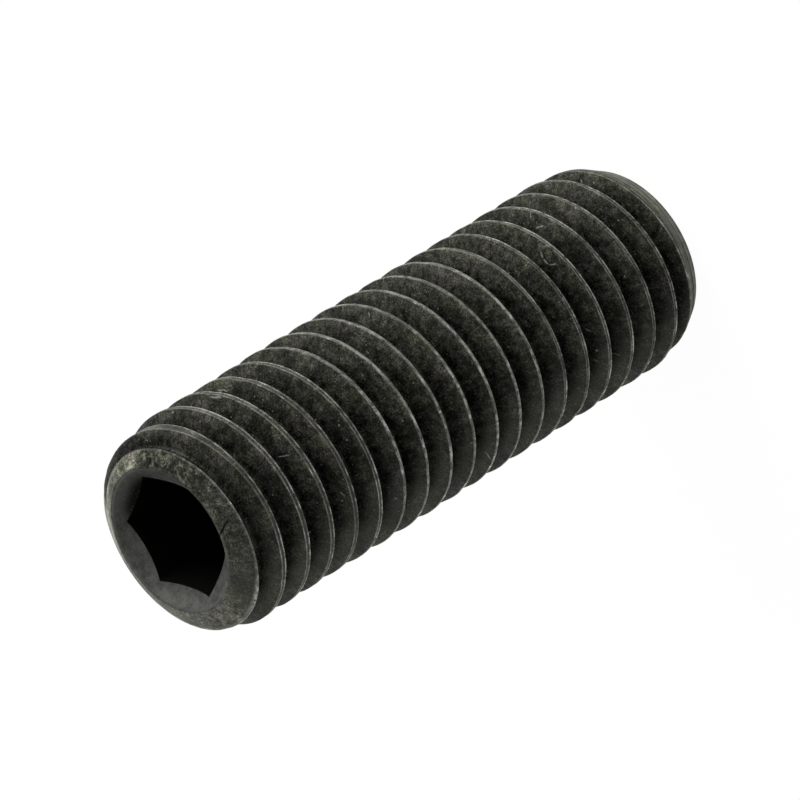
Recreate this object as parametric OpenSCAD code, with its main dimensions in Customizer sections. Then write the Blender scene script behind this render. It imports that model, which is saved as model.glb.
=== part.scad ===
// Grub set screw with a hex socket, right-hand thread over its whole length.
// It stands on its flat point, socket up. The thread is one helical surface, the socket is cut into it.

/* [Thread] */

// Diameter over the crests
major_d = 12.7; // [12:0.01:14]
// Distance from one crest to the next, 13 to the inch
pitch = 1.954; // [1.75:0.001:2.1]
// Angle between the two flanks of one groove
flank_angle = 60; // [55:1:62]
// Width of the flat top of a crest, as a share of the pitch
crest_share = 0.125; // [0.1:0.005:0.16]
// Radius of the rounded root, as a share of the pitch
root_round_share = 0.144; // [0.11:0.002:0.15]
// Turn of the thread about the axis, in degrees
thread_start = 47.5; // [0:0.5:359.5]

/* [Body] */

// Overall length from the flat point to the socket face
overall_l = 38.5; // [20:0.1:42]
// Point end, radial width of the chamfer round the flat point
point_chamfer_w = 0.92; // [0.4:0.01:1.1]
// Point end, angle of the chamfer against the axis
point_chamfer_angle = 27; // [22:1:40]
// Socket end, radius of the flat ring's outer edge, where the turned bevel starts
face_ring_r = 4.42; // [4.3:0.01:4.9]
// Socket end, angle of the bevel against the face plane
face_bevel_angle = 31.5; // [25:0.5:40]
// Socket end, radial width of the flat ring round the countersink
face_ring_w = 0.17; // [0.05:0.01:0.4]

/* [Rolled ends] */

// Socket end, how far the crests stay below full height
socket_crest_drop = 0.07; // [0:0.01:0.15]
// Socket end, length with these lower crests
socket_taper_l = 10; // [5:0.1:12]
// Socket end, how far the last crest stays below full height
last_crest_drop = 0.5; // [0.3:0.01:0.52]
// Socket end, length from the face where the crest begins to fall
last_crest_l = 2.1; // [1.5:0.1:3]
// Point end, how far the first crest stays below full height
point_crest_drop = 0.53; // [0.2:0.01:0.6]
// Point end, length until the crests are full
point_taper_l = 2.4; // [1.5:0.1:4]
// Point end, length that the groove leaves uncut
point_plain_l = 0.6; // [0.2:0.1:1]

/* [Hex socket] */

// Across the flats of the hex socket, for a 1/4 inch key
socket_af = 6.45; // [4.5:0.01:6.5]
// Depth of the flats, from the socket face
socket_depth = 8.2; // [6:0.1:10]
// Angle of the drilled bottom under the flats
drill_point_angle = 120; // [110:1:140]
// Countersink at the mouth, full angle of its steep outer part
countersink_angle = 90; // [82:1:118]
// Countersink, radial width of the steep outer part
countersink_w = 0.5; // [0.1:0.01:0.7]
// Countersink, full angle of its flat inner part
countersink_dish_angle = 125; // [120:1:140]

/* [Fineness] */

// Steps of the helix in one turn
turn_steps = 48; // [24:4:48]

/* [Hidden] */

steel = [0.16, 0.16, 0.15];
major_r = major_d / 2;
half_flank = flank_angle / 2;
// Half a groove seen from its middle: the rounded root touches the flank here
touch_z = root_round_share * pitch * cos(half_flank);
flank_z = pitch / 2 - crest_share * pitch / 2 - touch_z;
touch_depth = flank_z / tan(half_flank);
thread_depth = touch_depth + root_round_share * pitch * (1 - sin(half_flank));

// The turned blank: its radius at each height
point_r = major_r - point_chamfer_w;
mouth_r = face_ring_r - face_ring_w;
function blank_r(z) =
  min(major_r,
      point_r + z * tan(point_chamfer_angle),
      face_ring_r + (overall_l - z) / tan(face_bevel_angle));

// Rolling fills the crests less near both ends: what a crest lacks in radius, by its height
taper_step = pitch;
fall_step = 0.3 * pitch;
function crest_drop(z) =
  lookup(z, [
    [0, point_crest_drop],
    [point_taper_l, 0],
    [overall_l - socket_taper_l - taper_step / 2, 0],
    [overall_l - socket_taper_l + taper_step / 2, socket_crest_drop],
    [overall_l - last_crest_l, socket_crest_drop],
    [overall_l - last_crest_l + fall_step, last_crest_drop]
  ]);
// The groove itself fades in over half a turn at the point end
function groove_share(z) = lookup(z, [[point_plain_l, 0], [point_plain_l + pitch / 2, 1]]);

// One groove, from crest to crest: [share of the pitch, depth]
crest_edge = crest_share / 2;
touch_share = 0.5 - touch_z / pitch;
profile = [
  [crest_edge, 0],
  [touch_share, touch_depth],
  [0.5, thread_depth],
  [1 - touch_share, touch_depth],
  [1 - crest_edge, 0]
];
per_turn = len(profile);
first_turn = -2;
last_turn = ceil(overall_l / pitch) + 2;
ends = (last_turn - first_turn) * per_turn - 1;

// The thread alone as one line of [height, radius] points on the column at step j.
// A lower crest has a wider top, because its flanks stay where they are.
function phase(j) = j / turn_steps - thread_start / 360;
function height(share, j) = (share + phase(j)) * pitch;
function crest_point(share, side, j) =
  let (drop = crest_drop(height(share, j)))
  [height(share, j) + side * (crest_edge * pitch + drop * tan(half_flank)), major_r - drop];
function thread_point(i, j) =
  let (turn = first_turn + floor(i / per_turn), k = i % per_turn)
  k == 0 ? crest_point(turn, 1, j)
  : k == per_turn - 1 ? crest_point(turn + 1, -1, j)
  : [height(turn + profile[k][0], j), major_r - profile[k][1] * groove_share(height(turn + 0.5, j))];
function thread_line(j) = [for (i = [0 : ends]) thread_point(i, j)];

// The thread on the blank: points outside the blank drop onto it, and where the line passes
// through the blank's surface it gets a point of its own
function outside(p) = p[1] - blank_r(p[0]);
function crossing(p, q) =
  let (a = outside(p), b = outside(q), s = a / (a - b))
  a * b < 0 && s > 0.04 && s < 0.96 ? [p + (q - p) * s] : [];
function on_blank(p) = [p[0], min(p[1], blank_r(p[0]))];
function screw_line(line) =
  [for (i = [0 : len(line) - 2]) each concat([on_blank(line[i])], crossing(line[i], line[i + 1]))];

// Every column is a list of [height, radius], from the point face up to the face ring
end_gap = pitch / 100;
function end_point(z, line) = [z, min(blank_r(z), lookup(z, line))];
function column(line) =
  concat(
    [end_point(0, line)],
    [for (p = screw_line(line)) if (p[0] > end_gap && p[0] < overall_l - end_gap) p],
    [end_point(overall_l, line)]);
steps = [0 : turn_steps - 1];
columns = [for (j = steps) column(thread_line(j))];
function at(j, p) = [p[1] * cos(360 * j / turn_steps), p[1] * sin(360 * j / turn_steps), p[0]];
points = [for (j = steps) for (p = columns[j]) at(j, p)];
starts = [for (j = 0, n = 0; j < turn_steps; n = n + len(columns[j]), j = j + 1) n];

// The skin between two neighbouring columns climbs both together, the lower next point first
function climbs_first(p, q, a, b) = b + 1 == len(q) || (a + 1 < len(p) && p[a + 1][0] <= q[b + 1][0]);
function skin(j) =
  let (k = (j + 1) % turn_steps, p = columns[j], q = columns[k])
  [for (a = 0, b = 0, first = climbs_first(p, q, 0, 0);
        a + b < len(p) + len(q) - 2;
        a = first ? a + 1 : a, b = first ? b : b + 1, first = climbs_first(p, q, a, b))
    first
      ? [starts[j] + a, starts[j] + a + 1, starts[k] + b]
      : [starts[j] + a, starts[k] + b + 1, starts[k] + b]];
function top_of(j) = starts[j] + len(columns[j]) - 1;
faces = concat(
  [for (j = steps) each skin(j)],
  [[for (j = steps) starts[j]]],
  [[for (j = steps) top_of(turn_steps - 1 - j)]]);

// Socket: straight flats with a drilled cone below them, and a dished countersink at the mouth
corner_r = socket_af / 2 / cos(30);
drill_h = (socket_af / 2) / tan(drill_point_angle / 2);
dish_r = mouth_r - countersink_w;
steep_h = countersink_w / tan(countersink_angle / 2);
dish_h = dish_r / tan(countersink_dish_angle / 2);
over_cut = 0.5;

module threaded_blank() {
  polyhedron(points = points, faces = faces, convexity = 12);
}

module hex_socket() {
  translate([0, 0, overall_l - socket_depth])
    cylinder(h = socket_depth + over_cut, r = corner_r, $fn = 6);
  translate([0, 0, overall_l - socket_depth - drill_h])
    cylinder(h = drill_h, r1 = 0, r2 = socket_af / 2, $fn = 48);
}

module countersink() {
  translate([0, 0, overall_l])
    rotate_extrude($fn = 96)
      polygon([
        [0, -steep_h - dish_h],
        [dish_r, -steep_h],
        [mouth_r + over_cut * tan(countersink_angle / 2), over_cut],
        [0, over_cut]
      ]);
}

module set_screw() {
  color(steel)
    difference() {
      threaded_blank();
      hex_socket();
      countersink();
    }
}

set_screw();
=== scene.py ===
# %% [markdown]
# A grub set screw, 1/2 inch across and 1 1/2 inches long, stands on its flat point with the socket up.
# The packed CAD model gives the frame: one node, in metres, with Z along the screw's axis.
# The CAD thread has straight steps, so this lesson makes the real, smooth one in its place.

# %% Load the frame
import math
import bpy
from mathutils import Matrix, Vector, noise


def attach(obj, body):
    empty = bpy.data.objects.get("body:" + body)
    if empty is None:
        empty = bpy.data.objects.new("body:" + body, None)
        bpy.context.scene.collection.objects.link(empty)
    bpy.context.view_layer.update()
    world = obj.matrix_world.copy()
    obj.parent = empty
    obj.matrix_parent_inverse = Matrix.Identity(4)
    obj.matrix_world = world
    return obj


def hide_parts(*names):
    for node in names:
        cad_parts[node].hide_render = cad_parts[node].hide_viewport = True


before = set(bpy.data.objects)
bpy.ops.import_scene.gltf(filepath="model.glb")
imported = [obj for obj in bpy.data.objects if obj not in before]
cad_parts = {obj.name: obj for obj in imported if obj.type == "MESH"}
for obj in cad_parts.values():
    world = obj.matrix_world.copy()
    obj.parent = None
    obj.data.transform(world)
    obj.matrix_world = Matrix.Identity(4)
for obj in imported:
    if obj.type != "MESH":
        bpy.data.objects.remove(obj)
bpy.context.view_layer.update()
MM = 0.001

# %% [markdown]
# Every size comes from the screw's own drawing: thread, chamfers, countersink and socket.
# They are the values of the CAD source, in millimetres, and are turned into metres where they are used.

# %% Sizes of the screw
MAJOR_R = 12.7 / 2
PITCH = 1.954
LENGTH = 38.5
THREAD_START = 47.5
CREST_FLAT = 0.125 * PITCH
ROOT_ROUND = 0.144 * PITCH
HALF_FLANK = math.radians(30)
TOUCH_H = PITCH / 2 - ROOT_ROUND * math.cos(HALF_FLANK)
FLANK_DEPTH = (TOUCH_H - CREST_FLAT / 2) / math.tan(HALF_FLANK)
ROOT_R = MAJOR_R - (FLANK_DEPTH + ROOT_ROUND * (1 - math.sin(HALF_FLANK)))
POINT_CHAMFER_W = 0.92
POINT_R = MAJOR_R - POINT_CHAMFER_W
POINT_ANGLE = 27
POINT_SLOPE = math.tan(math.radians(POINT_ANGLE))
RING_R = 4.42
RING_W = 0.17
MOUTH_R = RING_R - RING_W
BEVEL_ANGLE = 31.5
BEVEL_SLOPE = math.tan(math.radians(BEVEL_ANGLE))
STEEP_W = 0.5
STEEP_R = MOUTH_R - STEEP_W
DISH_ANGLE = 125
DISH_SLOPE = math.tan(math.radians(90 - DISH_ANGLE / 2))
SOCKET_AF = 6.45
SOCKET_DEPTH = 8.2
print("root diameter", round(2 * ROOT_R, 3), "mm, turns", round(LENGTH / PITCH, 2))

# %% [markdown]
# A mesh could be written down as a list of vertices. Drawing it with operators, as by hand, is easier to
# follow and to change. Operators act on all that is selected, so each step first clears the selection.
# A small set of helpers keeps that in one place: clear, take, edit, draw, spin and apply.

# %% Helpers for modelling by hand
WELD = 1e-6


def clear_selection():
    """Back to object mode, with nothing selected."""
    if bpy.context.object and bpy.context.object.mode != "OBJECT":
        bpy.ops.object.mode_set(mode="OBJECT")
    bpy.ops.object.select_all(action="DESELECT")


def take(piece):
    """Makes a piece the one that the next operator works on."""
    clear_selection()
    piece.select_set(True)
    bpy.context.view_layer.objects.active = piece


def edit(piece, mode="VERT"):
    """Opens a piece in edit mode, to select vertices, edges or faces."""
    take(piece)
    bpy.ops.object.mode_set(mode="EDIT")
    bpy.ops.mesh.select_mode(type=mode)


def draw_line(name, points):
    """A line of vertices in the XZ plane: one vertex, drawn on from point to point by extrude."""
    clear_selection()
    bpy.ops.mesh.primitive_plane_add(size=MM, location=(0, 0, 0))
    line = bpy.context.object
    line.name = name
    bpy.ops.object.mode_set(mode="EDIT")
    bpy.ops.mesh.select_mode(type="VERT")
    bpy.ops.mesh.select_all(action="SELECT")
    bpy.ops.mesh.merge(type="CENTER")
    x, z = points[0]
    bpy.ops.transform.translate(value=(x * MM, 0, z * MM))
    for (x0, z0), (x1, z1) in zip(points, points[1:]):
        bpy.ops.mesh.extrude_region_move(
            TRANSFORM_OT_translate={"value": ((x1 - x0) * MM, 0, (z1 - z0) * MM)})
    bpy.ops.object.mode_set(mode="OBJECT")
    return line


def spin_line(line, steps):
    """Carries a drawn line once round the Z axis and welds it into a closed skin."""
    edit(line)
    bpy.ops.mesh.select_all(action="SELECT")
    bpy.ops.mesh.spin(steps=steps, angle=2 * math.pi, center=(0, 0, 0), axis=(0, 0, 1))
    bpy.ops.mesh.select_all(action="SELECT")
    bpy.ops.mesh.remove_doubles(threshold=WELD)
    bpy.ops.mesh.normals_make_consistent(inside=False)
    bpy.ops.object.mode_set(mode="OBJECT")
    print(line.name, "faces", len(line.data.polygons))


def apply_modifier(piece, kind, **settings):
    """Adds a modifier with its settings and turns its result into the mesh."""
    take(piece)
    modifier = piece.modifiers.new(kind.lower(), kind)
    for key, value in settings.items():
        setattr(modifier, key, value)
    bpy.ops.object.modifier_apply(modifier=modifier.name)


def arc(cx, cz, r, start, end, steps):
    """Points of an arc, angles in degrees, from X towards Z."""
    angles = [math.radians(start + (end - start) * i / steps) for i in range(steps + 1)]
    return [(cx + r * math.cos(a), cz + r * math.sin(a)) for a in angles]


print("vertices closer than", WELD / MM, "mm are welded")

# %% [markdown]
# The thread is rolled: a die presses one groove round the blank, and the crest between the turns is
# a narrow flat with soft edges, while the root is round. A row of rings would look nearly right, but
# a thread climbs. So one pitch of its outline is drawn as a line and carried round by the Screw
# modifier, which gives the whole thread, and the turns weld into one skin.

# %% One pitch of the thread, from crest middle to crest middle
EDGE_ROUND = 0.04
CREST_H = CREST_FLAT / 2


def thread_outline():
    """Crest flat, a small arc of 60 degrees, flank and round root, and the same back to the next crest."""
    back = EDGE_ROUND * math.tan(math.radians(30))
    edge = arc(MAJOR_R - EDGE_ROUND, CREST_H - back, EDGE_ROUND, 0, 60, 4)
    root = arc(ROOT_R + ROOT_ROUND, PITCH / 2, ROOT_ROUND, 240, 180, 6)
    x0, z0 = edge[-1]
    x1, z1 = root[0]
    flank = [(x0 + (x1 - x0) * i / 4, z0 + (z1 - z0) * i / 4) for i in range(1, 4)]
    half = [(MAJOR_R, 0), (MAJOR_R, CREST_H / 2)] + edge + flank + root
    other = [(x, PITCH - z) for x, z in reversed(half[:-1])]
    return half + other


outline = thread_outline()
FIRST = (-2 - THREAD_START / 360) * PITCH
TURNS = 23
ROUND_STEPS = 96
bar = draw_line("set_screw_body", [(x, z + FIRST) for x, z in outline])
print("outline points", len(outline), "depth", round(MAJOR_R - min(x for x, z in outline), 3), "mm")

# %% Carry it round into a long threaded bar with open ends
apply_modifier(bar, "SCREW", axis="Z", angle=2 * math.pi, screw_offset=PITCH * MM, iterations=TURNS,
               steps=ROUND_STEPS, render_steps=ROUND_STEPS, use_merge_vertices=False)
edit(bar)
bpy.ops.mesh.select_all(action="SELECT")
bpy.ops.mesh.remove_doubles(threshold=2 * WELD)
bpy.ops.object.mode_set(mode="OBJECT")
print("bar faces", len(bar.data.polygons))

# %% [markdown]
# Near both ends the dies press less metal up into the crests. There the crest stays lower and wider,
# its flanks being where they were, and it is a little hollow between two lips. In the middle of the
# screw it is full and slightly round. Several outlines could be joined one after another, but the
# change is gradual, so each vertex of a crest slides down its own flank instead.

# %% How much a crest lacks, by its height
def lookup(z, table):
    """A value between the rows of a short table of (height, value)."""
    if z <= table[0][0]:
        return table[0][1]
    for (z0, a), (z1, b) in zip(table, table[1:]):
        if z <= z1:
            return a + (b - a) * (z - z0) / (z1 - z0)
    return table[-1][1]


SOCKET_DROP, LAST_DROP, POINT_DROP = 0.07, 0.5, 0.53
SOCKET_TAPER, LAST_CREST, POINT_TAPER, POINT_PLAIN = 10, 2.1, 2.4, 0.6
FALL = 0.3 * PITCH
DROP = [(0, POINT_DROP), (POINT_TAPER, 0), (LENGTH - SOCKET_TAPER - PITCH / 2, 0),
        (LENGTH - SOCKET_TAPER + PITCH / 2, SOCKET_DROP), (LENGTH - LAST_CREST, SOCKET_DROP),
        (LENGTH - LAST_CREST + FALL, LAST_DROP)]
GROOVE = [(POINT_PLAIN, 0), (POINT_PLAIN + PITCH / 2, 1)]
HOLLOW = [(12.0, 1), (15.0, 0), (26.0, 0), (28.5, 1)]
HOLLOW_DEPTH = 0.05
CROWN = 0.022
CROWN_EDGE = 0.12
for height in (1, 20, 35):
    print("at", height, "mm a crest lacks", round(lookup(height, DROP), 3), "mm")

# %% Slide the crests
def nick(x, y, crest):
    """The depth of a nick: now and then a deep one, and a fine unevenness everywhere."""
    spot = Vector((x, y, crest)) * 0.9
    return max(0, noise.noise(spot) - 0.32) * 0.12 + max(0, noise.noise(spot * 3.1)) * 0.012


def rolled(x, y, z):
    """The place on the rolled thread of a point on the full one, in millimetres."""
    r = math.hypot(x, y)
    turn = math.degrees(math.atan2(y, x)) - THREAD_START
    crest = (round(z / PITCH - turn / 360) + turn / 360) * PITCH
    h, side = abs(z - crest), math.copysign(1, z - crest)
    if h >= TOUCH_H:
        new_h, depth = h, MAJOR_R - r
    else:
        drop = lookup(crest, DROP)
        wide = CREST_H + drop * math.tan(HALF_FLANK)
        if h <= CREST_H:
            new_h = h * wide / CREST_H
        else:
            new_h = wide + (h - CREST_H) * (TOUCH_H - wide) / (TOUCH_H - CREST_H)
        softness = MAJOR_R - r - max(0, h - CREST_H) / math.tan(HALF_FLANK)
        depth = max(drop, (new_h - CREST_H) / math.tan(HALF_FLANK)) + softness
        hollow, flat = lookup(crest, HOLLOW), min(1, h / CREST_H)
        if h <= CREST_H:
            depth += hollow * HOLLOW_DEPTH * (1 - flat) + (1 - hollow) * CROWN * flat ** 2 + nick(x, y, crest)
        else:
            depth += ((1 - hollow) * CROWN + nick(x, y, crest)) * max(0, 1 - (h - CREST_H) / CROWN_EDGE)
    base = lookup(crest + side * new_h, DROP)
    depth = base + (depth - base) * lookup(crest + side * PITCH / 2, GROOVE)
    scale = (MAJOR_R - max(0, depth)) / r
    return x * scale, y * scale, crest + side * new_h


for v in bar.data.vertices:
    v.co = Vector(rolled(*(v.co / MM))) * MM
print("widest vertex", round(max(v.co.xy.length for v in bar.data.vertices) / MM, 3), "mm from the axis")

# %% [markdown]
# On the real screw the thread runs out over the ends of the blank. The bar is longer than the screw, so
# that the thread doesn't end before the blank does. Its open ends could be closed edge by edge. Bisect
# is chosen, because it cuts and closes in one step. The cut's rim comes out untidy, which does no harm:
# that millimetre is cut away where thread and blank meet.

# %% Cut the bar a little beyond both ends
SPARE = 1.0
edit(bar)
for height, side in ((-SPARE, "clear_inner"), (LENGTH + SPARE, "clear_outer")):
    bpy.ops.mesh.select_all(action="SELECT")
    bpy.ops.mesh.bisect(plane_co=(0, 0, height * MM), plane_no=(0, 0, 1), use_fill=True, **{side: True})
bpy.ops.mesh.select_all(action="SELECT")
bpy.ops.mesh.normals_make_consistent(inside=False)
bpy.ops.mesh.quads_convert_to_tris()
bpy.ops.mesh.select_all(action="DESELECT")
bpy.ops.mesh.select_non_manifold()
bpy.ops.object.mode_set(mode="OBJECT")
print("bar faces", len(bar.data.polygons), "untidy edges at the cuts", sum(e.select for e in bar.data.edges))

# %% [markdown]
# Before rolling, the blank is turned: a flat point with a chamfer, and at the socket end a bevel,
# a thin flat ring and the countersink, which is steep outside and dished inside. Its edges are
# tumbled a little round. A bevel on the finished thread would break up where the grooves run out,
# so the blank is drawn as one line and spun, and what thread and blank share is the screw.

# %% The turned blank
def soften(points, radii, steps=4):
    """Rounds each inner corner of a line: radii has one radius for each point, 0 leaves it sharp."""
    out = [points[0]]
    for (ax, az), (bx, bz), (cx, cz), r in zip(points, points[1:], points[2:], radii[1:-1]):
        b, u, v = Vector((bx, bz)), Vector((ax - bx, az - bz)), Vector((cx - bx, cz - bz))
        if not r:
            out.append((bx, bz))
            continue
        u, v = u.normalized(), v.normalized()
        half = u.angle(v) / 2
        cut = r / math.tan(half)
        middle = b + (u + v).normalized() * (r / math.sin(half))
        p, q = b + u * cut - middle, b + v * cut - middle
        for i in range(steps + 1):
            on_arc = p.lerp(q, i / steps).normalized() * r + middle
            out.append((on_arc.x, on_arc.y))
    out.append(points[-1])
    return out


STEEP_Z = LENGTH - (MOUTH_R - STEEP_R)
FOOT_R = 1.0
FOOT_Z = STEEP_Z - (STEEP_R - FOOT_R) * DISH_SLOPE
CLEAR_R = MAJOR_R + 0.4
POINT_EDGE, RING_EDGE, DISH_EDGE = 0.12, 0.2, 2.5
blank_line = [(0, 0), (POINT_R, 0), (CLEAR_R, (CLEAR_R - POINT_R) / POINT_SLOPE),
              (CLEAR_R, LENGTH - (CLEAR_R - RING_R) * BEVEL_SLOPE), (RING_R, LENGTH), (MOUTH_R, LENGTH),
              (STEEP_R, STEEP_Z), (FOOT_R, FOOT_Z), (0, FOOT_Z)]
edge_radii = [0, POINT_EDGE, 0, 0, RING_EDGE, RING_EDGE, DISH_EDGE, 0, 0]
blank = draw_line("blank", soften(blank_line, edge_radii))
spin_line(blank, steps=180)

# %% [markdown]
# The socket is punched with a six-sided tool into a drilled hole. Insetting and extruding the end face
# would need a flat one, and this face is dished. So the tools themselves are made: the punch is a
# hexagon, extruded, with all its edges slightly rounded, and the drill is a spun cone below it. Blender
# puts a circle's first corner on Y, so the hexagon is turned by half a side to have a corner on X.

# %% The punch
PUNCH_CORNER = 0.14
FLATS_END = LENGTH - SOCKET_DEPTH
clear_selection()
bpy.ops.mesh.primitive_circle_add(vertices=6, radius=SOCKET_AF / 2 / math.cos(math.radians(30)) * MM,
                                  fill_type="NGON", location=(0, 0, 0))
punch = bpy.context.object
punch.name = "punch"
edit(punch)
bpy.ops.mesh.select_all(action="SELECT")
if abs(punch.data.vertices[0].co.x) < 0.1 * MM:
    bpy.ops.transform.rotate(value=math.radians(30), orient_axis="Z", center_override=(0, 0, 0))
bpy.ops.transform.translate(value=(0, 0, FLATS_END * MM))
bpy.ops.mesh.extrude_region_move(TRANSFORM_OT_translate={"value": (0, 0, (SOCKET_DEPTH + SPARE) * MM)})
bpy.ops.mesh.select_all(action="SELECT")
bpy.ops.mesh.bevel(offset=PUNCH_CORNER * MM, segments=3, profile=0.5)
bpy.ops.mesh.select_all(action="SELECT")
bpy.ops.mesh.normals_make_consistent(inside=False)
bpy.ops.object.mode_set(mode="OBJECT")
print(punch.name, "faces", len(punch.data.polygons))

# %% The drill
DRILL_R = SOCKET_AF / 2 - 0.02
DRILL_LAP = 0.4
DRILL_TIP = FLATS_END - SOCKET_AF / 2 / math.tan(math.radians(60))
drill = draw_line("drill", [(0, DRILL_TIP), (DRILL_R, FLATS_END), (DRILL_R, FLATS_END + DRILL_LAP),
                            (0, FLATS_END + DRILL_LAP)])
spin_line(drill, steps=60)

# %% [markdown]
# The lathe, the rolling dies and the punch each leave their own surface, and the edges are where
# these surfaces meet. Modelling every run-out of the thread by hand would take days. A Boolean finds
# those edges exactly: it keeps what thread and blank share, then takes away the punch and the drill.

# %% Thread and blank meet, then the socket is cut
for tool, operation in ((blank, "INTERSECT"), (punch, "DIFFERENCE"), (drill, "DIFFERENCE")):
    apply_modifier(bar, "BOOLEAN", operation=operation, object=tool, solver="EXACT")
    print(operation, tool.name, "leaves", len(bar.data.polygons), "faces")
for tool in (blank, punch, drill):
    take(tool)
    bpy.ops.object.delete()

# %% Weld the cuts, shade the faces smooth and count what is open
SMOOTH_BELOW = math.radians(28)
edit(bar)
bpy.ops.mesh.select_all(action="SELECT")
bpy.ops.mesh.remove_doubles(threshold=2 * WELD)
bpy.ops.mesh.quads_convert_to_tris()
bpy.ops.object.mode_set(mode="OBJECT")
take(bar)
bpy.ops.object.shade_smooth_by_angle(angle=SMOOTH_BELOW)
edit(bar, "EDGE")
bpy.ops.mesh.select_all(action="DESELECT")
bpy.ops.mesh.select_non_manifold()
bpy.ops.object.mode_set(mode="OBJECT")
open_edges = sum(e.select for e in bar.data.edges)
print("edges that aren't closed:", open_edges, "triangles", len(bar.data.polygons))

# %% [markdown]
# The frame has to know what this mesh is on the real screw: it rides on the one body, it is shown in
# place of the CAD node, and its finish goes by the name of that node's material slot. The CAD mesh
# could be shaded instead, but its 48 straight steps a turn would show.

# %% Hand the screw over to the frame
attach(bar, "root")
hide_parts("set_screw")
print(bar.name, "is shown in place of the CAD node")

# %% [markdown]
# The photograph looks down on the socket end with a long lens, and the picture is turned so that
# the screw lies across it, socket end at the lower left. The screw could be laid down, but in the
# frame it stands on its point, so the camera is turned instead. It stands about 35 cm away.

# %% Camera
EYE = Vector((22.449, -274.901, 240.872))
LOOKS_ALONG = Vector((-0.06393, 0.77759, -0.62551))
PICTURE_TURN = math.radians(-121.988)
LENS, SENSOR_W = 283.73, 36
camera_data = bpy.data.cameras.new("camera")
camera = bpy.data.objects.new("camera", camera_data)
bpy.context.scene.collection.objects.link(camera)
bpy.context.scene.camera = camera
camera_data.sensor_width = SENSOR_W
camera_data.lens = LENS
camera_data.clip_start = 0.01
camera.location = EYE * MM
camera.rotation_euler = (LOOKS_ALONG.to_track_quat("-Z", "Y").to_matrix()
                         @ Matrix.Rotation(PICTURE_TURN, 3, "Z")).to_euler()
picture_axes = camera.rotation_euler.to_matrix()
PICTURE_RIGHT, PICTURE_UP = picture_axes.col[0].copy(), picture_axes.col[1].copy()
print("the picture's up is", [round(v, 3) for v in PICTURE_UP])

# %% [markdown]
# A finish is a tree of nodes. It could be laid out node by node with the mouse, but shader maths is
# easier to read as arithmetic. A Wire wraps a socket, and each sign written on it adds a Math node.
# A Sheet is one material's node tree, with one method that adds any other node.

# %% Writing shader maths as arithmetic
class Wire:
    """A socket that arithmetic can be written on: each sign adds a Math node."""

    def __init__(self, sheet, socket):
        self.sheet, self.socket = sheet, socket

    def _do(self, operation, *values):
        return self.sheet.node("ShaderNodeMath", {"operation": operation}, dict(enumerate(values)))

    def __add__(self, other):
        return self._do("ADD", self, other)

    def __radd__(self, other):
        return self._do("ADD", other, self)

    def __sub__(self, other):
        return self._do("SUBTRACT", self, other)

    def __rsub__(self, other):
        return self._do("SUBTRACT", other, self)

    def __mul__(self, other):
        return self._do("MULTIPLY", self, other)

    def __rmul__(self, other):
        return self._do("MULTIPLY", other, self)

    def __truediv__(self, other):
        return self._do("DIVIDE", self, other)

    def abs(self):
        return self._do("ABSOLUTE", self)

    def round(self):
        return self._do("ROUND", self)

    def sqrt(self):
        return self._do("SQRT", self)

    def min(self, other):
        return self._do("MINIMUM", self, other)

    def max(self, other):
        return self._do("MAXIMUM", self, other)

    def atan2(self, other):
        return self._do("ARCTAN2", self, other)

    def ramp(self, low, high, low_out=0.0, high_out=1.0):
        """Smooth step from low_out at low to high_out at high."""
        return self.sheet.node("ShaderNodeMapRange", {"interpolation_type": "SMOOTHSTEP"},
                               {"Value": self, "From Min": low, "From Max": high,
                                "To Min": low_out, "To Max": high_out})


print("besides signs, a Wire knows", [name for name in vars(Wire) if not name.startswith("_")])

# %% The node tree of one material
class Sheet:
    """The node tree of one material, with one method that adds any node."""

    def __init__(self, name):
        self.material = bpy.data.materials.new(name)
        self.material.use_nodes = True
        self.tree = self.material.node_tree
        self.tree.nodes.clear()

    def node(self, kind, settings=None, sockets=None, out=0):
        """Adds a node: its type, settings, the values or links of its sockets, and what comes out."""
        made = self.tree.nodes.new(kind)
        for key, value in (settings or {}).items():
            setattr(made, key, value)
        for key, value in (sockets or {}).items():
            if isinstance(value, Wire):
                self.tree.links.new(value.socket, made.inputs[key])
            else:
                made.inputs[key].default_value = value
        if out is None:
            return None
        if isinstance(out, (list, tuple)):
            return [Wire(self, made.outputs[o]) for o in out]
        return Wire(self, made.outputs[out])

    def vector(self, operation, *values, **named):
        """Maths on places and directions."""
        out = "Value" if operation in ("DISTANCE", "DOT_PRODUCT") else "Vector"
        sockets = {**dict(enumerate(values)), **named}
        return self.node("ShaderNodeVectorMath", {"operation": operation}, sockets, out=out)

    def place(self):
        """Object coordinates in millimetres."""
        return self.vector("SCALE", self.node("ShaderNodeTexCoord", out="Object"), Scale=1 / MM)

    def noise(self, vector, scale, detail=3.0, roughness=0.5):
        """Noise between 0 and 1: scale is how many waves there are in a millimetre."""
        return self.node("ShaderNodeTexNoise", {}, {"Vector": vector, "Scale": scale, "Detail": detail,
                                                    "Roughness": roughness}, out="Fac")

    def mix(self, factor, low, high):
        """One colour at factor 0, the other at 1."""
        return self.node("ShaderNodeMix", {"data_type": "RGBA"}, {0: factor, 6: low, 7: high}, out=2)

    def finish(self, shader):
        """Links the shader to the material's output."""
        self.node("ShaderNodeOutputMaterial", {}, {"Surface": shader}, out=None)
        return self.material


def grey(level, warm=0.0):
    """An opaque grey, with a little less blue the warmer it is."""
    return (level, level * (1 + warm / 8), level * (1 - warm), 1)


print("a warm grey is", [round(v, 3) for v in grey(0.4, 0.12)])

# %% [markdown]
# The floor is white paper. Lit paper alone comes out grey, and a floor that only glows has no shadow.
# So most of what the camera and reflections see of it glows, a small part is lit like paper, and the
# screw's soft shadow stays.

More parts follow.
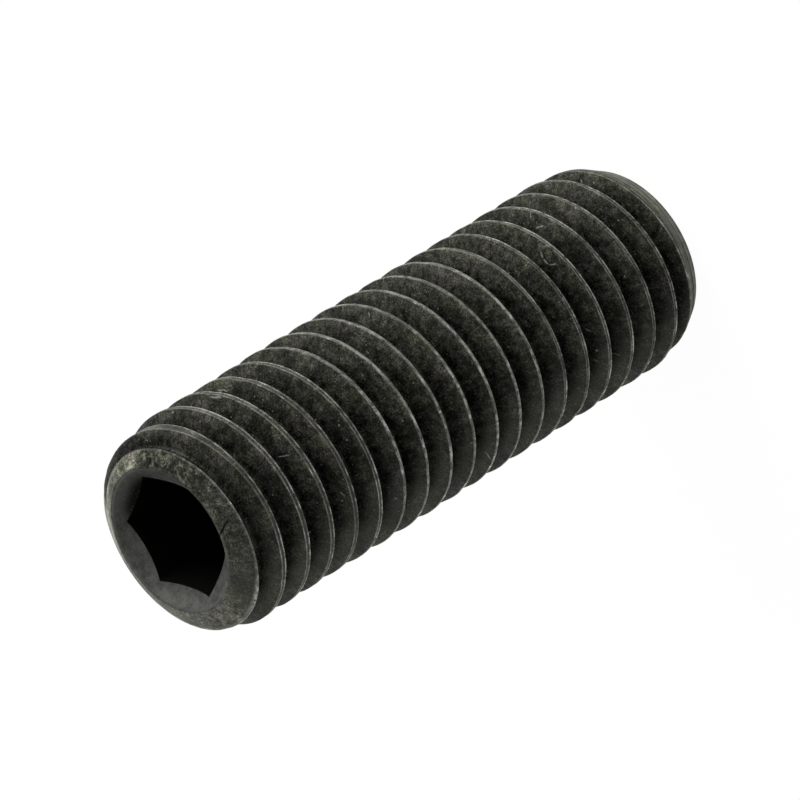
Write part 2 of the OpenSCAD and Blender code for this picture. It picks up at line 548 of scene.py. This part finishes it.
# %% Floor
FLOOR_SIZE = 3.0
FLOOR_GLOW = 0.9
FLOOR_WHITE = 1.072
clear_selection()
bpy.ops.mesh.primitive_plane_add(size=FLOOR_SIZE, location=(0, 0, 0))
floor = bpy.context.object
floor.name = "floor"

paper = Sheet("floor_paper")
seen = paper.node("ShaderNodeLightPath", out=["Is Camera Ray", "Is Glossy Ray", "Is Transmission Ray"])
direct = (seen[0] + seen[1] + seen[2]).min(1.0)
lit = paper.node("ShaderNodeBsdfDiffuse", {}, {"Color": grey(0.8)}, out="BSDF")
glow = paper.node("ShaderNodeEmission", {}, {"Color": grey(1.0), "Strength": FLOOR_WHITE}, out="Emission")
floor.data.materials.append(paper.finish(
    paper.node("ShaderNodeMixShader", {}, {0: direct * FLOOR_GLOW, 1: lit, 2: glow})))
print(floor.name, FLOOR_SIZE, "m wide, of which a share of", FLOOR_GLOW, "glows")

# %% World
WORLD_LIGHT = 0.25
world = bpy.data.worlds.new("studio")
bpy.context.scene.world = world
world.use_nodes = True
background = world.node_tree.nodes["Background"]
background.inputs["Color"].default_value = grey(1.0)
background.inputs["Strength"].default_value = WORLD_LIGHT
print(world.name, "light", WORLD_LIGHT)

# %% [markdown]
# In the photograph a broad light stands over the picture's upper left, and a weak one lifts the under
# side. Small lamps would leave sharp, bright lines on every crest. Two soft boxes give wide, dim ones,
# and they are placed by the picture's own directions, so that they stay put if the camera moves.

# %% Lamps by name, right, up, near, distance, size and power
LAMPS = [
    ("key", -0.6, 0.75, 0.30, 0.40, (0.30, 0.20), 1.3),
    ("fill", -0.5, -1.0, 0.05, 0.40, (0.30, 0.20), 0.20),
]
MIDDLE = Vector((0, 0, LENGTH / 2 * MM))


def soft_box(name, right, up, near, distance, size, power):
    """An area lamp: right, up and near give its direction in the picture, near being the camera's side."""
    toward = (PICTURE_RIGHT * right + PICTURE_UP * up - LOOKS_ALONG * near).normalized()
    lamp_data = bpy.data.lights.new(name, "AREA")
    lamp_data.shape = "RECTANGLE"
    lamp_data.size, lamp_data.size_y = size
    lamp_data.energy = power
    lamp = bpy.data.objects.new(name, lamp_data)
    bpy.context.scene.collection.objects.link(lamp)
    lamp.location = MIDDLE + toward * distance
    lamp.rotation_euler = (-toward).to_track_quat("-Z", "Y").to_euler()
    print(name, "stands at", [round(v, 3) for v in lamp.location])


for lamp in LAMPS:
    soft_box(*lamp)

# %% [markdown]
# Black oxide is a thin, dark skin on the steel, satin and a little olive, with oil dried into it.
# It could be painted on by hand, but twenty turns of crest and groove would each need their strokes.
# So every mask is worked out from the place on the thread: the distance from the nearest crest, the
# height, the direction round the axis and the distance from it. Then it is right on every turn.

# %% Where a point lies on the thread
steel = Sheet("black_oxide")
place = steel.place()
x, y, z = steel.node("ShaderNodeSeparateXYZ", {}, {0: place}, out=[0, 1, 2])
radius = (x * x + y * y).sqrt()
way = y.atan2(x)
turn = way / (2 * math.pi) - THREAD_START / 360
crest = ((z / PITCH - turn).round() + turn) * PITCH
above = z - crest
h = above.abs()
low_crests = crest.ramp(LENGTH - SOCKET_TAPER - 1, LENGTH - SOCKET_TAPER + 1, 0, SOCKET_DROP)
last_crest = crest.ramp(LENGTH - LAST_CREST, LENGTH - LAST_CREST + 0.6, 0, LAST_DROP - SOCKET_DROP)
drop = low_crests + last_crest + crest.ramp(0, POINT_TAPER, POINT_DROP, 0)
from_crest_edge = h - (drop * math.tan(HALF_FLANK) + CREST_H)
thread_r = (MAJOR_R - drop).min(MAJOR_R - (h - CREST_H) / math.tan(HALF_FLANK))
print("a full crest reaches", round(CREST_H, 3), "mm to each side of its middle")

# %% The parts of the surface: bevel, point chamfer, countersunk face, thread and socket
HEX_COS, HEX_SIN = math.cos(math.radians(30)), math.sin(math.radians(30))
on_bevel = (z - (LENGTH - (radius - RING_R) * BEVEL_SLOPE)).ramp(-0.09, -0.04)
on_point = (POINT_R + z * POINT_SLOPE - radius).ramp(0.03, 0.07, 1, 0) * z.ramp(2.0, 2.2, 1, 0)
face = radius.ramp(RING_R - 0.06, RING_R + 0.02, 1, 0) * z.ramp(20, 21)
on_thread = (1 - on_bevel.max(face)) * (1 - on_point)
across_flats = y.abs().max((x * HEX_COS + y * HEX_SIN).abs()).max((x * HEX_COS - y * HEX_SIN).abs())
to_flat = across_flats - SOCKET_AF / 2
in_socket = to_flat.ramp(0.0, 0.03, 1, 0) * z.ramp(20, 21)


def facing(degrees, near, far):
    """1 within near degrees of a direction round the axis, 0 beyond far."""
    return (way - math.radians(degrees)).abs().ramp(math.radians(near), math.radians(far), 1, 0)


print("the socket's flats stand", SOCKET_AF / 2, "mm from the axis")

# %% [markdown]
# The skin isn't even. It is mottled in patches of a millimetre or two, has a fine grain, and the
# rolling dies and the lathe leave faint lines. Each is one noise, stretched the way the tool ran:
# stretching is done by writing the place in other coordinates, such as direction and radius.

# %% Patches, grain, and the lines of dies and lathe
patches = steel.noise(place, 0.55, 4.0, 0.6)
blotches = steel.noise(place, 2.2, 4.0, 0.62)
grain = steel.noise(place, 10.0, 4.0, 0.68)
pits = steel.noise(place, 2.4, 6.0, 0.72)
along_thread = steel.node("ShaderNodeCombineXYZ", {}, {0: way * 3.0, 1: radius * 9, 2: above * 5})
die_lines = steel.noise(along_thread, 1.6, 3.0, 0.6)
down_flank = steel.node("ShaderNodeCombineXYZ", {}, {0: way * 60, 1: radius * 1.2, 2: crest * 0.8})
scuffs = steel.noise(down_flank, 1.0, 3.0, 0.65)
round_lathe = steel.node("ShaderNodeCombineXYZ", {}, {0: radius, 1: 0.0, 2: z})
lathe_lines = steel.noise(round_lathe, 7.0, 4.0, 0.7)
print("shader nodes so far", len(steel.tree.nodes))

# %% [markdown]
# Screws rub against each other in the box, so the skin goes first from what stands out: the crests,
# the edges left by the lathe and the rim of the countersink. A hollow crest wears on its two lips
# and shows two lines, a full one shows a single line. The wear is broken up along the thread.

# %% Worn crests and edges
hollow = crest.ramp(HOLLOW[0][0], HOLLOW[1][0], 1, 0) + crest.ramp(HOLLOW[2][0], HOLLOW[3][0], 0, 1)
lips = (from_crest_edge + 0.03).abs().ramp(0.01, 0.07, 1.25, 0) * (1 - above.ramp(-0.05, 0.05) * 0.35)
single = h.ramp(0.05, 0.15, 1, 0)
crest_line = (lips * hollow + single * (1 - hollow)) * (1 - face) * (1 - on_bevel) * (1 - on_point)
to_thread = thread_r - radius
turned_edge = to_thread.ramp(0.08, 0.30, 1, 0) * on_bevel * (1 - face)
turned_edge = turned_edge + to_thread.ramp(0.02, 0.09, 0.35, 0) * on_point
rim = (radius - (RING_R - 0.08)).abs().ramp(0.04, 0.18, 1, 0) * z.ramp(LENGTH - 0.4, LENGTH - 0.2)

strands = steel.node("ShaderNodeCombineXYZ", {}, {0: way * 7, 1: above * 2.0, 2: crest})
rubbed = steel.noise(strands, 1.9, 6.0, 0.8).ramp(0.36, 0.64, 0.0, 1.2)
uneven = steel.noise(place, 0.45, 3.0, 0.6).ramp(0.35, 0.65, 0.55, 1.25) * rubbed
nicked = steel.noise(place, 1.3, 4.0, 0.7).ramp(0.54, 0.66)
beside_crest = (h - CREST_H).ramp(0.0, 0.22, 1, 0) * on_thread
worn = crest_line * uneven + turned_edge * (uneven * 0.8 + 0.35) + rim * uneven * 0.4
worn = worn * (1 + nicked * 1.4) + beside_crest * nicked * grain.ramp(0.45, 0.7) * 0.5
print("shader nodes with the wear", len(steel.tree.nodes))

# %% [markdown]
# The bevel is pitted on one side, where the cutting tool tore the steel, and two short cracks run
# across it. Both could be cut into the mesh, but they are fine and shallow, so the finish draws them.
# A crack is the distance from a straight line between two places, with a ripple so that it isn't ruled.

# %% Pits and cracks on the bevel
def crack(r0, degrees0, r1, degrees1, width):
    """A dark line on the bevel between two places given by radius and direction."""
    ends = []
    for r, degrees in ((r0, degrees0), (r1, degrees1)):
        a = math.radians(degrees)
        ends.append(Vector((r * math.cos(a), r * math.sin(a), 0)))
    run = ends[1] - ends[0]
    ripple = (steel.noise(place, 5.0, 2.0) - 0.5) * 0.12
    across = (x - ends[0].x) * (-run.y / run.length) + (y - ends[0].y) * (run.x / run.length) + ripple
    forward = ((x - ends[0].x) * run.x + (y - ends[0].y) * run.y) / run.length_squared
    on_it = forward.ramp(-0.05, 0.05) * forward.ramp(0.9, 1.05, 1, 0)
    return across.abs().ramp(width * 0.3, width, 1, 0) * on_it * z.ramp(LENGTH - 0.9, LENGTH - 0.8)


torn_side = facing(-52, 38, 48) * on_bevel
cracks = crack(4.15, -103.5, 5.05, -93.6, 0.07).max(crack(4.35, -19.5, 4.85, -22.5, 0.09))
print("shader nodes with the cracks", len(steel.tree.nodes))

# %% [markdown]
# Dust lies all over it in pale specks, a few large and many small. They could be small meshes, but
# there are hundreds. A Voronoi pattern gives each of its cells one point and one colour: the distance
# from the point makes the speck, and the colour picks which cells have one.

# %% Dust
def dust(scale, size, few):
    """Pale specks, one in some of the cells: few is the share of cells that stay empty."""
    cells = steel.node("ShaderNodeTexVoronoi", {}, {"Vector": place, "Scale": scale},
                       out=["Distance", "Color"])
    pick = steel.node("ShaderNodeSeparateColor", {}, {0: cells[1]}, out=[0, 1])
    return cells[0].ramp(size * 0.4, size, 1, 0) * pick[0].ramp(few, few + 0.03) * pick[1].ramp(0, 1, 0.25, 1)


specks = dust(1.1, 0.085, 0.6) + dust(2.6, 0.15, 0.5) * 0.8 + dust(5.5, 0.28, 0.35) * 0.45
print("shader nodes with the dust", len(steel.tree.nodes))

# %% [markdown]
# The larger specks, scratches and hairs have a place of their own, in whole degrees round the axis and
# tenths of a millimetre up it. They could be painted, but numbers are easier to move. The surface is
# unrolled flat at one radius, and as a flank lies slanted in that map, heights count nearly double.

# %% Specks with a place of their own: direction in degrees, height, size
MARK_R = 6.0
STEEP = 1.8
SPOTS = [(-13, 35.1, 0.10), (-82, 34.6, 0.16), (-129, 33.0, 0.10), (-118, 30.8, 0.09), (-70, 29.5, 0.10),
         (-81, 29.0, 0.09), (-90, 29.0, 0.08), (-136, 26.7, 0.11), (-97, 25.0, 0.10), (-111, 22.6, 0.16),
         (-104, 20.7, 0.14), (-87, 11.0, 0.13), (-125, 9.3, 0.13), (-145, 6.9, 0.12), (-95, 5.6, 0.09),
         (-48, 5.5, 0.10), (-66, 3.7, 0.08), (-111, 3.1, 0.14)]
steep_map = steel.node("ShaderNodeCombineXYZ", {}, {0: way * MARK_R, 1: z * STEEP, 2: 0.0})
ragged = (steel.noise(place, 9.0, 2.0) - 0.5) * 0.12
for degrees, height, size in SPOTS:
    middle = (math.radians(degrees) * MARK_R, height * STEEP, 0)
    distance = steel.vector("DISTANCE", steep_map, middle) + ragged
    specks = specks.max(distance.ramp(size * 0.3, size * 0.85, 1, 0))
specks = specks.min(1.0)
print("specks placed", len(SPOTS))

# %% Scratches and hairs, each from one place to another: direction and height, twice
MARKS = [(-77, 33.3, -81, 32.9), (-21, 33.1, -31, 33.0), (-9, 31.4, -20, 31.4), (-112, 30.8, -116, 30.7),
         (-131, 30.1, -140, 29.0), (-32, 21.3, -34, 21.4), (-145, 18.9, -151, 18.6), (-157, 18.7, -163, 17.6),
         (-142, 11.0, -148, 9.8), (-110, 9.6, -113, 9.4), (-131, 9.4, -133, 9.2), (-57, 9.6, -61, 9.7),
         (-61, 9.7, -66, 9.7), (-66, 9.7, -69, 9.5), (-57, 9.5, -60, 9.1), (-39, 7.9, -44, 7.7),
         (-34, 7.7, -33, 7.5), (-137, 7.5, -138, 7.2), (-23, 2.0, -25, 2.1), (-32, 2.0, -34, 2.0)]
flat_map = steel.node("ShaderNodeCombineXYZ", {}, {0: way * MARK_R, 1: z, 2: 0.0})
wobble = (steel.noise(place, 3.5, 2.0) - 0.5) * 0.10
marks = None
for from_way, from_z, to_way, to_z in MARKS:
    start = Vector((math.radians(from_way) * MARK_R, from_z, 0))
    run = Vector((math.radians(to_way) * MARK_R, to_z, 0)) - start
    from_start = steel.vector("SUBTRACT", flat_map, tuple(start))
    forward = steel.vector("DOT_PRODUCT", from_start, tuple(run / run.length_squared))
    across = steel.vector("DOT_PRODUCT", from_start, (-run.y / run.length, run.x / run.length, 0)) + wobble
    mark = across.abs().ramp(0.005, 0.04, 1, 0) * (forward - 0.5).abs().ramp(0.2, 0.52, 1, 0)
    marks = mark if marks is None else marks.max(mark)
print("marks drawn", len(MARKS))

# %% [markdown]
# How light the skin is comes first, as one number: noises multiplied, with painted light and shade in
# it: lighter near the crests, on the bevel and on the countersunk face, darker in the grooves, and dark
# on one side of the socket's mouth. Then that number is given an olive or a plum tint, and the worn
# steel, the dust and the marks go on top.

# %% How light the skin is
tone = patches.ramp(0.32, 0.68, 0.5, 1.4) * blotches.ramp(0.3, 0.7, 0.45, 1.6)
tone = tone * grain.ramp(0.36, 0.64, 0.25, 2.1)
# Painted light and shade: the bevel is made much lighter than the thread, and darker on two sides round the
# axis.
bevel_tone = (1 - facing(-128, 14, 43) * 0.65) * (7.6 - facing(-85, 34, 80) * 2.4)
# Painted shade: on the thread the skin is lighter near each crest and darker down into the groove.
tone = tone * (h.ramp(0.15, 0.9, 2.0, 0.35) * on_thread + bevel_tone * on_bevel * (1 - face))
tone = tone * die_lines.ramp(0.3, 0.7, 0.8, 1.2) * scuffs.ramp(0.42, 0.75, 0.85, 1.6)
tone = tone + lathe_lines.ramp(0.38, 0.62, 2.0, 9.0) * on_point
# Painted shade: the countersink is darkened on one side, near the socket's edge.
mouth_painted_shade = facing(26, 17, 49) * radius.ramp(3.4, 4.2, 1, 0) * face
# Painted light: the countersunk face is made lighter than the thread too.
tone = tone + (5.4 + (blotches - 0.5) * 7) * face * (1 - mouth_painted_shade * 0.9)
tone = tone * (1 - cracks * 0.95) * (1 - torn_side * pits.ramp(0.42, 0.54, 0.6, 0.0))
print("shader nodes with the tone", len(steel.tree.nodes))

# %% Its colour
def tinted(red, green, blue):
    """The tone as a colour."""
    return steel.node("ShaderNodeCombineColor", {}, {0: tone * red, 1: tone * green, 2: tone * blue})


olive = tinted(0.0210, 0.0222, 0.0150)
plum = tinted(0.0222, 0.0210, 0.0186)
bare = tinted(0.0215, 0.0218, 0.0204)
olive_or_plum = steel.noise(place, 0.8, 3.0, 0.5).ramp(0.38, 0.62)
skin = steel.mix(face, steel.mix(olive_or_plum, olive, plum), bare)
# Painted shade: the socket's walls are made nearly black.
skin = steel.mix(in_socket, skin, grey(0.0008))
colour = steel.mix((worn * 0.8).min(0.9), skin, grey(0.34, 0.08))
pale = (specks * 0.8 + marks * 0.75).min(0.9) * (1 - in_socket)
colour = steel.mix(pale, colour, grey(0.40, 0.12))
print("shader nodes with the colour", len(steel.tree.nodes))

# %% [markdown]
# Light shows the rest. Worn steel is smoother and a metal, the skin is satin, and the noises stand
# out a few hundredths of a millimetre. A plain matt black, which doesn't shine, is mixed in: as dirt in
# the cracks, the pits and between the lathe's lines, and as painted shade deep in the grooves, in the
# socket and at its mouth.

# %% How rough it is, and its relief
rough = blotches.ramp(0.3, 0.7, 0.36, 0.58) + grain.ramp(0.3, 0.7, -0.06, 0.06)
rough = rough - worn * 0.12 + in_socket * 0.35 + on_point * 0.2
relief = blotches * 0.016 + grain * 0.012 + die_lines * 0.008 + scuffs * 0.006
relief = (relief + lathe_lines * 0.02 * on_point) * (1 - face * 0.6)
relief = relief + pits.ramp(0.36, 0.56, 0.0, 0.22) * torn_side - cracks * 0.08
bump = steel.node("ShaderNodeBump", {}, {"Strength": 1.0, "Distance": MM, "Height": relief}, out="Normal")
print("shader nodes with the relief", len(steel.tree.nodes))

# %% Dirt and painted shade, which don't shine
# Painted shade: more matt black deep in the grooves, in the socket and at its mouth; in the cracks, pits and
# lathe's lines it is dirt.
dirt_and_painted_shade = h.ramp(0.3, 0.9, 0.22, 0.68) * on_thread + 0.2 * on_bevel + 0.2 * face
dirt_and_painted_shade = dirt_and_painted_shade * grain.ramp(0.36, 0.64, 1.45, 0.55)
dirt_and_painted_shade = dirt_and_painted_shade * blotches.ramp(0.3, 0.7, 1.25, 0.6) * patches.ramp(0.3, 0.7, 1.2, 0.7)
dirt_and_painted_shade = dirt_and_painted_shade.max(in_socket * 0.8).max(cracks * 0.8).max(mouth_painted_shade * 0.9)
dirt_and_painted_shade = dirt_and_painted_shade.max(torn_side * (1 - face) * pits.ramp(0.40, 0.50, 0.5, 0.0))
dirt_and_painted_shade = dirt_and_painted_shade.max(on_point * lathe_lines.ramp(0.42, 0.58, 0.6, 0.0))
dirt_and_painted_shade = (dirt_and_painted_shade * (1 - pale) * (1 - worn * 0.7)).max(0.0).min(0.9)
print("shader nodes with the dirt", len(steel.tree.nodes))

# %% The finish, mixed from oxide and a matt black for dirt and painted shade
oxide = steel.node("ShaderNodeBsdfPrincipled", {},
                   {"Base Color": colour, "Roughness": rough, "Metallic": worn * 0.7, "IOR": 1.5,
                    "Specular Tint": grey(1.0, 0.16), "Normal": bump}, out="BSDF")
shade_and_dirt_black = steel.node("ShaderNodeBsdfDiffuse", {}, {"Color": grey(0.0012)}, out="BSDF")
bar.data.materials.clear()
bar.data.materials.append(steel.finish(steel.node("ShaderNodeMixShader", {}, {0: dirt_and_painted_shade, 1: oxide, 2: shade_and_dirt_black})))
print("shader nodes in all", len(steel.tree.nodes))

# %% [markdown]
# The view stays plain, so that colours render as they are written.

# %% View
bpy.context.scene.view_settings.view_transform = "Standard"
